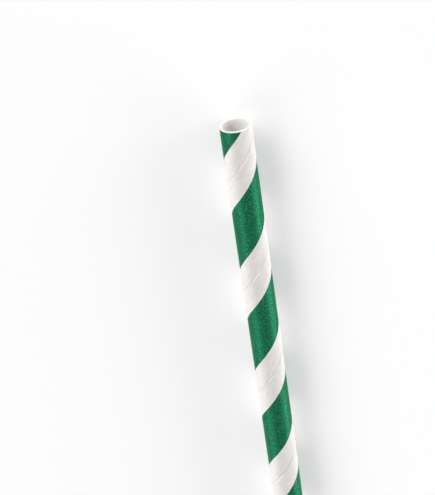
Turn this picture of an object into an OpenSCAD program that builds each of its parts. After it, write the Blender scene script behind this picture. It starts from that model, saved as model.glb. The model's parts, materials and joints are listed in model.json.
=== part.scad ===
/* [Tube] */
// Length of the straw from cut end to cut end
straw_length = 197; // [80:1:260]
// Outer diameter of the finished tube
outer_diameter = 6; // [5:0.1:12]
// Radius to which the saw leaves the edges of both cut ends rubbed round
edge_radius = 0.08; // [0.02:0.01:0.12]
// Width of the flat pressed along the line on which the straw lies
resting_flat = 1; // [0.4:0.1:1.6]

/* [Paper] */
// Thickness of each strip of paper
ply_thickness = 0.16; // [0.12:0.01:0.2]
// Number of strips laid over each other
ply_count = 3; // [3:1:4]

/* [Winding] */
// Distance along the straw that a strip advances in one turn
winding_pitch = 23.5; // [18:0.1:40]
// Groove left where the two edges of one strip meet, measured across the groove
seam_gap = 0.12; // [0.08:0.01:0.3]
// Depth at which glue fills that groove
seam_depth = 0.04; // [0.02:0.01:0.1]
// Direction in which the outer seam leaves the mouth, counted from straight up
outer_seam_angle = 105; // [0:1:359]
// How far round the tube the innermost strip's seam lies from the outer one
inner_seam_offset = 120; // [30:1:330]

/* [Hidden] */

outer_radius = outer_diameter / 2;
bore_radius = outer_radius - ply_count * ply_thickness;
axis_height = sqrt(pow(outer_radius, 2) - pow(resting_flat / 2, 2));
turn_per_mm = 360 / winding_pitch;
round_steps = 96;
steps_per_turn = 30;
arc_step = 30;
overrun = 1;

// Quarter arc of a rubbed edge, as points in the wall's section.
function rubbed_edge(centre, from_angle) =
    [for (angle = [from_angle : arc_step : from_angle + 90])
        centre + edge_radius * [cos(angle), sin(angle)]];

// The wall cut along the axis: distance from the axis across, length upwards.
module wall_section() {
    bore_side = bore_radius + edge_radius;
    outer_side = outer_radius - edge_radius;
    far_end = edge_radius;
    mouth = straw_length - edge_radius;
    polygon(concat(
        rubbed_edge([bore_side, far_end], 180),
        rubbed_edge([outer_side, far_end], 270),
        rubbed_edge([outer_side, mouth], 0),
        rubbed_edge([bore_side, mouth], 90)
    ));
}

// Butt seam of one strip: a groove in the paper between two radii, wound
// right-handed about the axis. It runs aslant, so it is wider round the tube
// than across the strip's edges. At the mouth it stands at mouth_angle. It runs
// past both ends, in whole steps counted from the mouth.
module butt_seam(from_radius, to_radius, mouth_angle) {
    slant = atan(winding_pitch / (PI * (from_radius + to_radius)));
    gap_round_tube = seam_gap / sin(slant);
    step = winding_pitch / steps_per_turn;
    steps = ceil(straw_length / step) + 2;
    run = steps * step;
    start = straw_length + step - run;
    translate([0, 0, start])
        rotate(mouth_angle + turn_per_mm * (start - straw_length))
            linear_extrude(height = run, twist = -turn_per_mm * run, slices = steps)
                translate([from_radius, -gap_round_tube / 2])
                    square([to_radius - from_radius, gap_round_tube]);
}

// All that the lying straw would hold below its flat.
module below_flat() {
    translate([axis_height, -outer_radius, -overrun])
        cube([overrun, outer_diameter, straw_length + 2 * overrun]);
}

// One stiff tube, wound from strips and glued: the seams of the outermost and
// the innermost strip show, and the strips between them don't.
module straw_tube() {
    straight_up = 180;
    outer_seam = straight_up + outer_seam_angle;
    inner_seam = outer_seam + inner_seam_offset;
    color("white")
        translate([-straw_length / 2, 0, axis_height])
            rotate([0, 90, 0])
                difference() {
                    rotate_extrude($fn = round_steps)
                        wall_section();
                    butt_seam(outer_radius - seam_depth, outer_radius + overrun, outer_seam);
                    butt_seam(bore_radius - overrun, bore_radius + seam_depth, inner_seam);
                    below_flat();
                }
}

straw_tube();
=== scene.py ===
import json
import math

import bpy
import numpy as np
from mathutils import Matrix, Vector


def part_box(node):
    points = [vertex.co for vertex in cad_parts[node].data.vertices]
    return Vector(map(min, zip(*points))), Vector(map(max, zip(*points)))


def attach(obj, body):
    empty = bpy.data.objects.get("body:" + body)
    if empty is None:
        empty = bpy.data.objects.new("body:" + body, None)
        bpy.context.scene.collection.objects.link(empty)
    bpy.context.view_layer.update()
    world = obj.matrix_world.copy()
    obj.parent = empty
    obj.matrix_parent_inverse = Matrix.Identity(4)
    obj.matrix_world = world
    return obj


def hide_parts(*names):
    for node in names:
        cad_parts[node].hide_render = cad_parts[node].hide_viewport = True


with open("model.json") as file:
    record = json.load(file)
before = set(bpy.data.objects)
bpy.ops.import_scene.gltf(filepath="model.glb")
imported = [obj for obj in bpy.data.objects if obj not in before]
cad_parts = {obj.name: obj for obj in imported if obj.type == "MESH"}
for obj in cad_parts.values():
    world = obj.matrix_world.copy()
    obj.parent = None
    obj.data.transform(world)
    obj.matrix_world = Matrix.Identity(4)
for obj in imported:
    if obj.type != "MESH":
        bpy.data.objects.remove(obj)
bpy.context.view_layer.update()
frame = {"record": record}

MM = 0.001


def mount(name):
    """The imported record's entry for one of the straw's mounts."""
    return next(entry for entry in frame["record"]["mounts"] if entry["name"] == name)


# Sizes in millimetres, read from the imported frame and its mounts
STRAW_LENGTH = (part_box("straw_tube")[1][0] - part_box("straw_tube")[0][0]) / MM
OUTER_RADIUS = mount("lid_hole_pin")["dims"]["r_mm"]
BORE_RADIUS = mount("drinking_bore")["dims"]["r_mm"]
AXIS_HEIGHT = mount("drinking_bore")["pos_m"][2] / MM
EDGE_RADIUS = (STRAW_LENGTH - mount("drinking_bore")["dims"]["length_mm"]) / 2
PLY_COUNT = 3
PLY_THICKNESS = (OUTER_RADIUS - BORE_RADIUS) / PLY_COUNT

# Winding, the same as in the part's source. Angles are in degrees, from straight up towards +Y.
WINDING_PITCH = 23.5
OUTER_SEAM_ANGLE = -105.0
INNER_SEAM_OFFSET = 120.0

# The printed strip, laid flat
WINDING_SLANT = math.atan(WINDING_PITCH / (2 * math.pi * OUTER_RADIUS))
STRIP_WIDTH = WINDING_PITCH * math.cos(WINDING_SLANT)
PRINTED_SHARE = 0.52
BAND_MIDDLE = STRIP_WIDTH / 2
BAND_HALF_WIDTH = STRIP_WIDTH * PRINTED_SHARE / 2
INNER_SEAM_ACROSS = STRIP_WIDTH * INNER_SEAM_OFFSET / 360

# Relief of the outer wall, in millimetres: the groove at its seam, the proud edge and the sunk edge
# beside it, two creases at their distances from it, the valley over the inner seam, and how far the tube
# is oval and swells. MEAN_INSET sets the wall in, so that the proud edge stays inside the CAD model's box.
GROOVE_HALF_WIDTH = 0.075
GROOVE_DEPTH = 0.09
LIP_HEIGHT = 0.055
LIP_FADE = 0.17
SUNK_DEPTH = 0.007
SUNK_FADE = 0.45
FIRST_CREASE = 0.48
FIRST_CREASE_DEPTH = 0.010
FIRST_CREASE_HALF_WIDTH = 0.09
SECOND_CREASE = 0.82
SECOND_CREASE_DEPTH = 0.012
SECOND_CREASE_HALF_WIDTH = 0.11
VALLEY_DEPTH = 0.006
VALLEY_HALF_WIDTH = 0.25
OVAL = 0.005
OVAL_PHASE = 1.1
SWELL = 0.003
MEAN_INSET = 0.032

# Relief of the bore at its seam, and of the two cuts, in millimetres
BORE_SEAM_HALF_WIDTH = 0.06
BORE_SEAM_DEPTH = 0.035
BORE_LIP_HEIGHT = 0.008
BORE_LIP_FADE = 0.35
GLUE_LINE_HALF_WIDTH = 0.018
GLUE_LINE_DEPTH = 0.022
CUT_UNEVENNESS = 0.014
STRIP_END_STEP = 0.008

# The paper's and the ink's colours, as linear red, green, blue and alpha
WHITE_PAPER = (0.84, 0.813, 0.794, 1)
CLOUDED_PAPER = (0.79, 0.762, 0.740, 1)
# Painted shade in the hollows between the paper's fibres
FIBRE_HOLLOW_SHADE = (0.735, 0.705, 0.682, 1)
UNPRINTED_PAPER = (0.93, 0.908, 0.892, 1)
# Painted highlight: the lighter white along the seam's proud edge, where its slope would catch the light
LIP_HIGHLIGHT_PAINT = (0.96, 0.935, 0.915, 1)
# Darker raw edges at the seam, with painted shade in its groove and in the creases beside it
RAW_EDGE_AND_CREASE_SHADE = (0.62, 0.592, 0.57, 1)
GLUE_LINE = (0.50, 0.475, 0.44, 1)
THICK_INK = (0.003, 0.042, 0.016, 1)
THIN_INK = (0.013, 0.166, 0.079, 1)
INK_FLECK = (0.045, 0.340, 0.175, 1)
RUN_TOGETHER_INK = (0.001, 0.042, 0.015, 1)
INK_EDGE_GLOSS = (0.05, 1.0, 0.55, 1)
INK_SHEEN = (0.2, 1.0, 0.62, 1)

# Gloss of the paper and of the ink, part of which shines as a metal of its own green does
PAPER_ROUGHNESS = 0.8
INK_ROUGHNESS = 0.45
INK_METAL = 0.42

# Rows at least this far out in the wall, from 0 in the bore to 1 outside, are the printed strip's
PRINTED_SIDE = 0.9

# How finely the mesh is divided: rows along each stretch of the wall, and degrees between its columns
OUTER_ROWS = 490
BORE_ROWS = 250
RIM_ROWS = 19
CORNER_ROWS = 5
COLUMN_STEP = 4.5

# A second map, of this name, lays the paper's looks out on a square for baking. On it the outer wall's
# three lengths, the bore and the rims each have a plot: left, bottom, width and height.
BAKED_MAP = "OFBake"
WALL_PLOTS = ((0.004, 0.068, 0.296, 0.928), (0.307, 0.068, 0.296, 0.928), (0.610, 0.068, 0.296, 0.928))
BORE_PLOT = (0.913, 0.068, 0.083, 0.928)
MOUTH_RIM_PLOT = (0.004, 0.036, 0.992, 0.026)
FAR_RIM_PLOT = (0.004, 0.004, 0.992, 0.026)

# The photograph's camera, found from the straw's own edges, mouth and stripe
PHOTO_SIZE = np.array([435.0, 495.0])
MOUTH_PIXEL = np.array([235.3, 124.8])
FOCAL_PIXELS = 1680.0
MOUTH_DISTANCE = 303.3
STRAW_LEANS = math.radians(7.58)
STRAW_RECEDES = math.radians(30.76)
SENSOR_MM = 36.0

# Light, in the strengths at which the paper's white just stays short of pure white. A long window lies
# sideways and upwards from the straw. It is a row of lamps: how far each leans along the straw, and its
# share of the window's strength. The end window's direction is along, sideways and upwards.
WINDOW_WIDTH = 34
RIGHT_WINDOW = 5.6
RIGHT_WAY = (-0.85, 0.08)
RIGHT_LAMPS = ((-0.5, 0.40), (0.2, 0.42), (0.9, 0.18))
LEFT_WINDOW = 3.35
LEFT_WAY = (0.74, 0.46)
LEFT_LAMPS = ((-0.5, 0.32), (0.2, 0.22), (0.9, 0.46))
END_WINDOW = 0.8
END_WAY = (1.0, 0.45, 0.32)
SURROUND_LIGHT = 0.13
FLOOR_COLOUR = (0.62, 0.62, 0.62, 1)
FLOOR_GLOW = 0.46
FLOOR_HALF_SIDE = 4.0


def waves(phase, seed, count=5, lowest=1.0, spread=1.7):
    """Slow fixed unevenness from -1 to 1: a sum of sines of rising frequency, each a little weaker."""
    total = np.zeros_like(phase)
    weight = 0.0
    for order in range(count):
        frequency = lowest * spread ** order
        share = 1 / (1 + order)
        total = total + share * np.sin(frequency * phase + 2.399 * seed * (order + 1))
        weight += share
    return total / weight


def bump_over(distance, half_width):
    """A bell over distance: 1 at the middle, falling to a third at half_width."""
    return np.exp(-(distance / half_width) ** 2)


def wall_profile():
    """The wall's section as one closed loop of (s, radius, outside) rows.

    s is the distance from the mouth's cut and outside is 1 on the outer wall and 0 in the bore. The loop
    runs along the outer wall to the mouth, over the mouth's rim with its two rubbed corners as quarter
    arcs, back through the bore, and over the far rim.
    """
    quarter = np.linspace(0, math.pi / 2, CORNER_ROWS)
    rim_steps = np.linspace(OUTER_RADIUS - EDGE_RADIUS, BORE_RADIUS + EDGE_RADIUS, RIM_ROWS)[1:-1]
    outer_rows = np.linspace(STRAW_LENGTH - EDGE_RADIUS, EDGE_RADIUS, OUTER_ROWS)[1:-1]
    bore_rows = np.linspace(EDGE_RADIUS, STRAW_LENGTH - EDGE_RADIUS, BORE_ROWS)[1:-1]

    outer_corner_s = EDGE_RADIUS * (1 - np.sin(quarter))
    outer_corner_r = OUTER_RADIUS - EDGE_RADIUS * (1 - np.cos(quarter))
    bore_corner_s = EDGE_RADIUS * (1 - np.cos(quarter))
    bore_corner_r = BORE_RADIUS + EDGE_RADIUS * (1 - np.sin(quarter))

    rim_s = np.concatenate([outer_corner_s, 0 * rim_steps, bore_corner_s])
    rim_r = np.concatenate([outer_corner_r, rim_steps, bore_corner_r])
    s = np.concatenate([outer_rows, rim_s, bore_rows, STRAW_LENGTH - rim_s[::-1]])
    radius = np.concatenate([
        np.full_like(outer_rows, OUTER_RADIUS), rim_r,
        np.full_like(bore_rows, BORE_RADIUS), rim_r[::-1],
    ])
    outside = np.clip((radius - BORE_RADIUS) / (OUTER_RADIUS - BORE_RADIUS), 0, 1)
    return s, radius, outside


def winding_columns():
    """Angles round the tube from the outer seam, in degrees, in ascending order.

    They are even, and closer at both seams and over the creases beside the outer one. Each column
    follows the winding, so it keeps its distance from the seams over the whole length.
    """
    even = np.arange(0, 360, COLUMN_STEP)
    at_seam = np.array([-9, -6, -3.6, -2.4, -1.6, -0.9, 0, 0.9, 1.6, 2.4, 3.6, 6, 9])
    over_creases = np.array([-25, -22, -20.5, -19, -17.5, -16, -14.5, -13, -11.5, -10, -8, -7, -5])
    at_inner_seam = at_seam - INNER_SEAM_OFFSET
    every = np.concatenate([even, at_seam % 360, over_creases % 360, at_inner_seam % 360])
    return np.unique(np.round(every, 3))


def outer_relief(across, along, around, s):
    """How far the outer wall stands off its mean radius, in mm.

    The strip's two edges meet in a narrow groove, bell-shaped in section, whose depth and width wander
    slowly. The strip's far edge stands a little proud of the near one and settles back within a third
    of a millimetre. Two shallow creases run beside it, where the strip below ends and where the winding
    belt pressed. A faint valley shows over the innermost strip's seam, and the tube is a trace oval.
    """
    from_seam = np.where(across > STRIP_WIDTH / 2, across - STRIP_WIDTH, across)
    half_width = GROOVE_HALF_WIDTH * (1 + 0.22 * waves(along, 1.0, lowest=0.35))
    depth = GROOVE_DEPTH * (1 + 0.25 * waves(along, 2.0, lowest=0.5))
    proud = LIP_HEIGHT * (1 + 0.45 * waves(along, 3.0, lowest=0.22))
    lip = proud * np.exp(-np.abs(from_seam) / LIP_FADE) * (from_seam > 0)
    sunk = SUNK_DEPTH * np.exp(-np.abs(from_seam) / SUNK_FADE) * (from_seam < 0)
    first_depth = FIRST_CREASE_DEPTH * (1 + waves(along, 8.0, lowest=0.3))
    second_depth = SECOND_CREASE_DEPTH * (1 + waves(along, 9.0, lowest=0.2))
    first_crease = first_depth * bump_over(from_seam - FIRST_CREASE, FIRST_CREASE_HALF_WIDTH)
    second_crease = second_depth * bump_over(from_seam - SECOND_CREASE, SECOND_CREASE_HALF_WIDTH)
    valley = VALLEY_DEPTH * bump_over(across - INNER_SEAM_ACROSS, VALLEY_HALF_WIDTH)
    oval = OVAL * np.cos(2 * around - OVAL_PHASE) + SWELL * waves(s, 5.0, lowest=0.11)
    creases = first_crease + second_crease + valley
    return lip - sunk - depth * bump_over(from_seam, half_width) - creases + oval


def bore_relief(across, along):
    """How far the bore's wall stands off its mean radius, in mm: the innermost strip's open seam."""
    from_seam = across - INNER_SEAM_ACROSS
    half_width = BORE_SEAM_HALF_WIDTH * (1 + 0.25 * waves(along, 6.0, lowest=0.4))
    lip = BORE_LIP_HEIGHT * np.exp(-np.abs(from_seam) / BORE_LIP_FADE) * (from_seam > 0)
    return BORE_SEAM_DEPTH * bump_over(from_seam, half_width) - lip


def cut_relief(radius, around, outside):
    """How far the saw's cut lies behind the straw's end, in mm.

    The glue lines between the strips are slight grooves, the strips end a trace apart, and the cut
    fibres leave it uneven round the rim.
    """
    glue_lines = OUTER_RADIUS - PLY_THICKNESS * np.arange(1, PLY_COUNT)
    grooves = sum(bump_over(radius - line, GLUE_LINE_HALF_WIDTH) for line in glue_lines)
    uneven = 0.5 + 0.5 * waves(around + 2.2 * outside, 7.0, count=6, lowest=3.0, spread=2.0)
    strip_ends = 0.5 + 0.5 * np.sin(2 * math.pi * PLY_COUNT * outside + 0.7 * np.sin(2 * around))
    return GLUE_LINE_DEPTH * grooves + CUT_UNEVENNESS * uneven + STRIP_END_STEP * strip_ends


def wound_surface():
    """Every point of the tube, as grids over (profile row, winding column).

    A point at distance s from the mouth stands at the seam's angle plus its column's angle, and the
    seam turns once per pitch. Both walls' relief fades out over the rims, and the cuts' relief within
    four edge radii of each end. What would reach below the floor is pressed flat on it. Returns the
    points in metres, each point's place on the flat strip, across it and along it in mm, and how far
    each row lies from the bore towards the outer wall. The grid closes on itself both ways.
    """
    s, radius, outside = (row[:, None] for row in wall_profile())
    column = winding_columns()[None, :]
    around = np.radians(OUTER_SEAM_ANGLE + 360 * s / WINDING_PITCH + column)
    across = (1 - column / 360) * STRIP_WIDTH + 0 * s
    along = (s - across * math.cos(WINDING_SLANT)) / math.sin(WINDING_SLANT)

    on_outer = np.clip(3 * outside - 2, 0, 1)
    on_bore = np.clip(1 - 3 * outside, 0, 1)
    stand_off = on_outer * (outer_relief(across, along, around, s) - MEAN_INSET)
    true_radius = radius + stand_off + on_bore * bore_relief(across, along)

    from_end = np.minimum(s, STRAW_LENGTH - s)
    nearness = np.clip(1 - from_end / (4 * EDGE_RADIUS), 0, 1)
    towards_middle = np.where(s < STRAW_LENGTH / 2, 1, -1)
    true_s = s + towards_middle * nearness * cut_relief(radius, around, outside)

    x = STRAW_LENGTH / 2 - true_s
    y = true_radius * np.sin(around)
    z = np.maximum(AXIS_HEIGHT + true_radius * np.cos(around), 0.0)
    points = np.stack(np.broadcast_arrays(x, y, z), axis=-1) * MM
    return points, across, along, outside


def closed_grid_faces(rows, columns):
    """Quads of a grid that joins its last row to its first and its last column to its first."""
    row, column = np.meshgrid(np.arange(rows), np.arange(columns), indexing="ij")
    next_row = (row + 1) % rows
    next_column = (column + 1) % columns
    corners = [
        row * columns + column, next_row * columns + column,
        next_row * columns + next_column, row * columns + next_column,
    ]
    return np.stack(corners, axis=-1).reshape(-1, 4)


def strip_places(across, along):
    """Each quad corner's place on the flat strip, in mm. Past the seam, the strip's other edge begins."""
    next_across = np.roll(across, -1, axis=1)
    next_along = np.roll(along, -1, axis=1)
    next_across[:, -1] = 0.0
    next_along[:, -1] = along[:, 0] + STRIP_WIDTH / math.tan(WINDING_SLANT)
    here = np.stack([across, along], axis=-1)
    beside = np.stack([next_across, next_along], axis=-1)
    below = np.roll(here, -1, axis=0)
    below_beside = np.roll(beside, -1, axis=0)
    return np.stack([here, below, below_beside, beside], axis=2).reshape(-1, 2)


def baked_places():
    """Each quad corner's place, from 0 to 1, on the square of the second map, for baking the paper's
    looks.

    The outer wall is cut across into three lengths, which stand side by side. The bore is a narrower
    column beside them, and the two rims are bands below them. On each plot a quad's place is its column's
    angle across and its row's number upwards. The last row of quads, which closes the grid, is the first
    of the outer wall.
    """
    wall_quads = (OUTER_ROWS - 1) // len(WALL_PLOTS)
    rim_quads = 2 * CORNER_ROWS + RIM_ROWS - 3
    stretches = [(wall_quads, plot) for plot in WALL_PLOTS]
    stretches += [(rim_quads, MOUTH_RIM_PLOT), (BORE_ROWS - 1, BORE_PLOT), (rim_quads, FAR_RIM_PLOT)]
    around = np.append(winding_columns(), 360.0) / 360
    plots = []
    for quads, (left, bottom, width, height) in stretches:
        along = np.linspace(0, 1, quads + 1)
        corner = np.stack(np.meshgrid(left + width * around, bottom + height * along), axis=-1)
        here = corner[:, :-1]
        beside = corner[:, 1:]
        plots.append(np.stack([here[:-1], here[1:], beside[1:], beside[:-1]], axis=2))
    return np.roll(np.concatenate(plots), -1, axis=0).reshape(-1, 2)


def build_tube(printed, plain):
    """The wound tube as one closed mesh, its outer wall printed and its rims and bore plain."""
    points, across, along, outside = wound_surface()
    rows, columns = across.shape
    quads = closed_grid_faces(rows, columns)
    mesh = bpy.data.meshes.new("wound_tube")
    mesh.from_pydata(points.reshape(-1, 3), [], quads)
    mesh.uv_layers.new(name="strip").uv.foreach_set("vector", strip_places(across, along).ravel())
    mesh.uv_layers.new(name=BAKED_MAP).uv.foreach_set("vector", baked_places().ravel())
    mesh.materials.append(printed)
    mesh.materials.append(plain)
    printed_row = outside[:, 0] > PRINTED_SIDE
    on_wall = printed_row & np.roll(printed_row, -1)
    slots = np.repeat(np.where(on_wall, 0, 1), columns).astype(np.int32)
    mesh.polygons.foreach_set("material_index", slots)
    mesh.shade_smooth()
    mesh.update()
    tube = bpy.data.objects.new("wound_tube", mesh)
    bpy.context.collection.objects.link(tube)
    return tube


class Amount:
    """A number that varies over the paper: a node's socket, with arithmetic that adds Math nodes."""

    def __init__(self, finish, socket):
        self.finish = finish
        self.socket = socket

    def math(self, operation, *others):
        """This amount and others through one Math node."""
        return self.finish.maths(operation, self, *others)

    def __add__(self, other):
        return self.math("ADD", other)

    __radd__ = __add__

    def __sub__(self, other):
        return self.math("SUBTRACT", other)

    def __rsub__(self, other):
        return self.finish.maths("SUBTRACT", other, self)

    def __mul__(self, other):
        return self.math("MULTIPLY", other)

    __rmul__ = __mul__

    def within(self, low, high):
        """0 below low, 1 above high and a smooth rise between. Low above high gives the fall."""
        return self.finish.node(
            "ShaderNodeMapRange", {"interpolation_type": "SMOOTHSTEP"},
            {"Value": self, "From Min": low, "From Max": high}, "Result")


class Finish:
    """One material, or the world, in the making, and the one way in which its nodes are added."""

    def __init__(self, owner):
        self.owner = owner
        owner.use_nodes = True
        self.tree = owner.node_tree
        self.tree.nodes.clear()

    def node(self, kind, settings=None, sockets=None, output=None):
        """Adds a node: its settings first, then its sockets' values or links.

        Returns the output of that name, or else the first.
        """
        made = self.tree.nodes.new(kind)
        for name, value in (settings or {}).items():
            setattr(made, name, value)
        for name, value in (sockets or {}).items():
            found = [entry for entry in made.inputs if name in (entry.identifier, entry.name)]
            exact = [entry for entry in found if entry.identifier == name] or found
            self.feed(exact[0], value)
        named = [entry for entry in made.outputs if output in (entry.identifier, entry.name)]
        return Amount(self, (named or made.outputs)[0]) if len(made.outputs) else None

    def feed(self, socket, value):
        """Links an amount to a socket, or sets the socket to a plain value."""
        if isinstance(value, Amount):
            self.tree.links.new(value.socket, socket)
        else:
            socket.default_value = value

    def maths(self, operation, *terms):
        """One Math node over numbers and amounts."""
        names = ("Value", "Value_001", "Value_002")
        return self.node("ShaderNodeMath", {"operation": operation}, dict(zip(names, terms)))

    def blend(self, share, first, second):
        """The colour first where share is 0 and second where it is 1."""
        return self.node(
            "ShaderNodeMix", {"data_type": "RGBA", "clamp_factor": True},
            {"Factor_Float": share, "A_Color": first, "B_Color": second}, "Result_Color")

    def noise(self, place, scale, detail=2.0, roughness=0.5, stretch=(1.0, 1.0, 1.0)):
        """Even noise about 0.5, with scale in features per mm and stretched along the given axes."""
        stretched = self.node(
            "ShaderNodeVectorMath", {"operation": "MULTIPLY"},
            {"Vector": place, "Vector_001": tuple(1 / length for length in stretch)})
        return self.node(
            "ShaderNodeTexNoise", {"noise_dimensions": "3D"},
            {"Vector": stretched, "Scale": scale, "Detail": detail, "Roughness": roughness}, "Fac")

    def surface(self, shader, output_kind="ShaderNodeOutputMaterial"):
        """Makes this shader the owner's surface and returns the owner."""
        self.node(output_kind, None, {"Surface": shader})
        return self.owner


def new_finish(name):
    """A new material, ready for its nodes."""
    return Finish(bpy.data.materials.new(name))


def place_in_mm(finish):
    """The place on the object, in millimetres, with X along the straw."""
    object_place = finish.node("ShaderNodeTexCoord", output="Object")
    return finish.node(
        "ShaderNodeVectorMath", {"operation": "SCALE"}, {"Vector": object_place, "Scale": 1 / MM})


def fibre_height(finish, place, along_axis):
    """Height of the paper's surface, from 0 to 1: fibres drawn out along one axis, on soft clouds."""
    drawn = [1.0, 1.0, 1.0]
    drawn[along_axis] = 4.0
    fibres = finish.noise(place, 7.0, detail=3.0, roughness=0.6, stretch=drawn)
    drawn[along_axis] = 2.5
    clouds = finish.noise(place, 1.4, detail=2.0, stretch=drawn)
    return 0.65 * fibres + 0.35 * clouds


def seam_shade(finish, across, strip):
    """Darker raw edges with painted shade in the seam's groove and creases, from 0 to 1, fading in and
    out.
    """
    from_seam = STRIP_WIDTH / 2 - (across - STRIP_WIDTH / 2).math("ABSOLUTE")
    wander = finish.noise(strip, 0.5, detail=2.0, stretch=(1.0, 2.0, 1.0))
    from_first = (across - FIRST_CREASE).math("ABSOLUTE")
    from_second = (across - SECOND_CREASE).math("ABSOLUTE")
    raw_edges_and_groove_shade = from_seam.within(0.08, 0.02) * (0.25 + 0.75 * wander.within(0.36, 0.56))
    # Painted shade in the two creases beside the seam
    first_crease = from_first.within(0.10, 0.03) * wander.within(0.42, 0.62)
    second_crease = from_second.within(0.11, 0.03) * wander.within(0.56, 0.40)
    return raw_edges_and_groove_shade + 0.40 * first_crease + 0.30 * second_crease


def painted_lip_highlight(finish, across, strip):
    """How much painted highlight lightens the white along the strip's proud edge, from 0 to 1."""
    wander = finish.noise(strip, 0.4, detail=1.0, stretch=(1.0, 2.0, 1.0)).within(0.40, 0.60)
    return across.within(0.05, 0.11) * across.within(0.34, 0.20) * wander


def paper_colour(finish, height, clouds):
    """Bleached paper: near white, a trace warmer, and darker in the hollows between the fibres as painted
    shade.
    """
    # Painted shade where the fibres' height is low
    fibre_shade = height.within(0.36, 0.62)
    cloud_shade = clouds.within(0.3, 0.7)
    toned = finish.blend(cloud_shade, CLOUDED_PAPER, WHITE_PAPER)
    return finish.blend(fibre_shade, FIBRE_HOLLOW_SHADE, toned)


def bumpy(finish, height, strength, depth_mm):
    """A normal that follows a height, where a height of 1 stands depth_mm proud."""
    return finish.node(
        "ShaderNodeBump", None, {"Height": height, "Strength": strength, "Distance": depth_mm * MM})


def glue_shade(finish, place):
    """How dark the glue lines between the strips are on a cut rim, from 0 to 1: two thin rings."""
    from_axis = finish.node(
        "ShaderNodeVectorMath", {"operation": "SUBTRACT"},
        {"Vector": place, "Vector_001": (0.0, 0.0, AXIS_HEIGHT)})
    across = finish.node(
        "ShaderNodeVectorMath", {"operation": "MULTIPLY"},
        {"Vector": from_axis, "Vector_001": (0.0, 1.0, 1.0)})
    radius = finish.node("ShaderNodeVectorMath", {"operation": "LENGTH"}, {"Vector": across}, "Value")
    wandering = radius + 0.05 * (finish.noise(place, 1.6) - 0.5)
    outer_line = (wandering - (OUTER_RADIUS - PLY_THICKNESS)).math("ABSOLUTE")
    inner_line = (wandering - (BORE_RADIUS + PLY_THICKNESS)).math("ABSOLUTE")
    return outer_line.within(0.03, 0.0) + inner_line.within(0.03, 0.0)


def plain_paper():
    """The unprinted paper of the rims and the bore."""
    finish = new_finish("plain_paper")
    place = place_in_mm(finish)
    height = fibre_height(finish, place, 0)
    clouds = finish.noise(place, 0.6)
    white = finish.blend(0.6, paper_colour(finish, height, clouds), UNPRINTED_PAPER)
    shader = finish.node(
        "ShaderNodeBsdfPrincipled", None,
        {
            "Base Color": finish.blend(0.45 * glue_shade(finish, place), white, GLUE_LINE),
            "Roughness": 0.85,
            "Specular IOR Level": 0.3,
            "Normal": bumpy(finish, height, 0.35, 0.03),
        })
    return finish.surface(shader)


def ink_cover(finish, across, from_rim, place):
    """Where ink lies, from 0 to 1: the printed share of the strip, up to just short of the rims.

    Its edges wander by some hundredths of a millimetre and are ragged with the fibres.
    """
    wander = finish.noise(place, 0.5, detail=1.0) - 0.5
    ragged = finish.noise(place, 9.0, detail=2.0) - 0.5
    edge = BAND_HALF_WIDTH - (across - BAND_MIDDLE).math("ABSOLUTE")
    band = (edge + 0.12 * wander + 0.08 * ragged).within(-0.03, 0.03)
    rim_wander = finish.noise(place, 2.2, detail=2.0) - 0.5
    off_the_rim = (from_rim + 0.14 * rim_wander + 0.10 * ragged).within(0.11, 0.19)
    return band * off_the_rim


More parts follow.
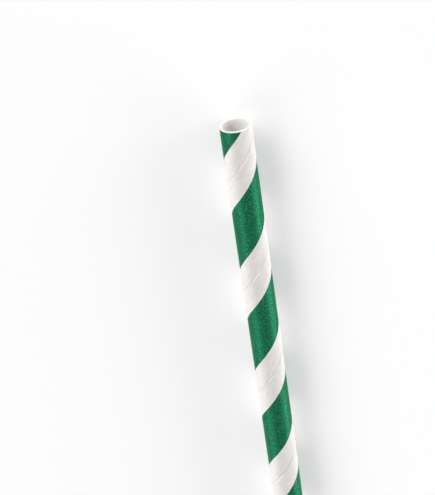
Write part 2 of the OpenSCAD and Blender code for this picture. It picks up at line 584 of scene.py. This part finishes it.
def printed_paper():
    """The outermost strip: white paper, with green ink along its middle.

    The pattern is laid out on the flat strip, so it runs with the winding. The ink is mottled: thick
    and dark where it has run together, along its edges too, thin over soft clouds, and lighter in small
    flecks. Part of it shines as a metal of its own green does, so its gloss stays green. The export
    takes gloss and metal from the paper's shader, so there they follow the ink's cover as well.
    """
    finish = new_finish("printed_paper")
    strip = finish.node("ShaderNodeUVMap", {"uv_map": "strip"})
    across = finish.node("ShaderNodeSeparateXYZ", None, {"Vector": strip}, "X")
    place = place_in_mm(finish)
    x = finish.node("ShaderNodeSeparateXYZ", None, {"Vector": place}, "X")
    from_rim = STRAW_LENGTH / 2 - x.math("ABSOLUTE")

    height = fibre_height(finish, strip, 1)
    clouds = finish.noise(strip, 0.9, detail=2.0, stretch=(1.0, 5.0, 1.0))
    cover = ink_cover(finish, across, from_rim, strip)
    speckle = finish.noise(strip, 3.9, detail=1.5, roughness=0.6)
    flecks = finish.noise(strip, 4.4, detail=2.0, roughness=0.55).within(0.54, 0.64)

    white = paper_colour(finish, height, clouds)
    # Painted highlight along the seam's proud edge
    lip_highlighted_white = finish.blend(painted_lip_highlight(finish, across, strip), white, LIP_HIGHLIGHT_PAINT)
    # Painted shade in the seam's groove and creases, over its darker raw edges
    shaded_white = finish.blend(seam_shade(finish, across, strip), lip_highlighted_white, RAW_EDGE_AND_CREASE_SHADE)
    paper = finish.node(
        "ShaderNodeBsdfPrincipled", None,
        {
            "Base Color": shaded_white,
            "Roughness": PAPER_ROUGHNESS - (PAPER_ROUGHNESS - INK_ROUGHNESS) * cover,
            "Metallic": INK_METAL * cover,
            "Specular IOR Level": 0.35,
            "Normal": bumpy(finish, height, 0.5, 0.04),
        })

    thinness = 0.85 * speckle.within(0.40, 0.64) + 0.15 * clouds.within(0.25, 0.75)
    mottled = finish.blend(thinness, THICK_INK, THIN_INK)
    flecked = finish.blend(0.70 * flecks, mottled, INK_FLECK)
    from_middle = (across - BAND_MIDDLE).math("ABSOLUTE")
    run_together = from_middle.within(BAND_HALF_WIDTH - 0.20, BAND_HALF_WIDTH - 0.04)
    ink = finish.node(
        "ShaderNodeBsdfPrincipled", None,
        {
            "Base Color": finish.blend(0.7 * run_together, flecked, RUN_TOGETHER_INK),
            "Roughness": INK_ROUGHNESS,
            "Metallic": INK_METAL,
            "Specular IOR Level": 0.12,
            "Specular Tint": INK_EDGE_GLOSS,
            "Sheen Weight": 0.3,
            "Sheen Roughness": 0.30,
            "Sheen Tint": INK_SHEEN,
            "Normal": bumpy(finish, 0.6 * speckle + 0.4 * height, 0.8, 0.08),
        })
    return finish.surface(
        finish.node("ShaderNodeMixShader", None, {"Fac": cover, "Shader": paper, "Shader_001": ink}))


def looked_at(finish):
    """1 for what the camera, a mirror or glass sees, and 0 for what only lights the straw."""
    rays = ("Is Camera Ray", "Is Glossy Ray", "Is Transmission Ray")
    camera, glossy, transmission = (finish.node("ShaderNodeLightPath", output=ray) for ray in rays)
    return camera.math("MAXIMUM", glossy).math("MAXIMUM", transmission)


def build_floor():
    """A plain pale floor, wide enough to reach past every view."""
    finish = new_finish("pale_floor")
    matte = finish.node("ShaderNodeBsdfDiffuse", None, {"Color": FLOOR_COLOUR})
    glow = finish.node("ShaderNodeEmission", None, {"Strength": looked_at(finish) * FLOOR_GLOW})
    material = finish.surface(
        finish.node("ShaderNodeAddShader", None, {"Shader": matte, "Shader_001": glow}))
    corners = FLOOR_HALF_SIDE * np.array([(-1, -1, 0), (1, -1, 0), (1, 1, 0), (-1, 1, 0)])
    mesh = bpy.data.meshes.new("floor")
    mesh.from_pydata(corners, [], [(0, 1, 2, 3)])
    mesh.materials.append(material)
    floor = bpy.data.objects.new("floor", mesh)
    bpy.context.collection.objects.link(floor)


def window(name, towards_light, strength):
    """A wide, soft, round lamp far off in the given direction."""
    lamp = bpy.data.lights.new(name, "SUN")
    lamp.energy = strength
    lamp.angle = math.radians(WINDOW_WIDTH)
    holder = bpy.data.objects.new(name, lamp)
    holder.rotation_euler = Vector(towards_light).to_track_quat("Z", "Y").to_euler()
    bpy.context.collection.objects.link(holder)


def long_window(name, way, strength, lamps):
    """A soft window that runs along the straw: a row of round lamps that share its strength."""
    for number, (lengthwise, share) in enumerate(lamps):
        window(f"{name}_{number}", (lengthwise, *way), strength * share)


def light_studio():
    """A long window on each side of the straw, a weaker one beyond its mouth, and a pale surround.

    The windows lean so that more light reaches the right side of the bore than its left, as in the
    photograph.
    """
    long_window("right_window", RIGHT_WAY, RIGHT_WINDOW, RIGHT_LAMPS)
    long_window("left_window", LEFT_WAY, LEFT_WINDOW, LEFT_LAMPS)
    window("end_window", END_WAY, END_WINDOW)
    studio = Finish(bpy.data.worlds.new("studio"))
    strength = looked_at(studio) * (1 - SURROUND_LIGHT) + SURROUND_LIGHT
    pale = studio.node("ShaderNodeBackground", None, {"Color": (1, 1, 1, 1), "Strength": strength})
    bpy.context.scene.world = studio.surface(pale, "ShaderNodeOutputWorld")


def place_camera():
    """The photograph's camera, set against the straw.

    In the camera's own axes, right, down and away, the straw's direction from the mouth follows from
    its lean and how far it recedes. The direction square to it and nearest the view is the straw's
    downward one on the floor. Those two and their cross product, matched to the frame's axes, turn the
    camera; its distance is then measured back from the mouth's centre.
    """
    straw = np.array([
        math.sin(STRAW_LEANS),
        math.cos(STRAW_LEANS) * math.cos(STRAW_RECEDES),
        math.cos(STRAW_LEANS) * math.sin(STRAW_RECEDES),
    ])
    mouth_ray = np.append((MOUTH_PIXEL - PHOTO_SIZE / 2) / FOCAL_PIXELS, 1.0)
    mouth_ray /= np.linalg.norm(mouth_ray)
    downward = mouth_ray - straw * (mouth_ray @ straw)
    downward /= np.linalg.norm(downward)
    in_camera = np.stack([straw, downward, np.cross(straw, downward)], axis=1)
    in_frame = np.array([[-1, 0, 0], [0, 0, -1], [0, -1, 0]]).T
    turn = in_frame @ in_camera.T
    mouth = np.array([STRAW_LENGTH / 2, 0, AXIS_HEIGHT])
    spot = (mouth - MOUTH_DISTANCE * turn @ mouth_ray) * MM

    data = bpy.data.cameras.new("camera")
    data.sensor_width = SENSOR_MM
    data.lens = FOCAL_PIXELS / PHOTO_SIZE.max() * SENSOR_MM
    data.clip_start = 0.01
    camera = bpy.data.objects.new("camera", data)
    right, up, back = turn[:, 0], -turn[:, 1], -turn[:, 2]
    axes = Matrix(np.stack([right, up, back], axis=1).tolist())
    camera.matrix_world = Matrix.Translation(Vector(spot)) @ axes.to_4x4()
    bpy.context.collection.objects.link(camera)
    bpy.context.scene.camera = camera


def build_straw():
    """The wound tube stands in the place of the plain CAD tube and rides with the one body."""
    tube = build_tube(printed_paper(), plain_paper())
    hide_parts("straw_tube")
    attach(tube, "root")


build_straw()
build_floor()
light_studio()
place_camera()
bpy.context.scene.view_settings.view_transform = "Standard"
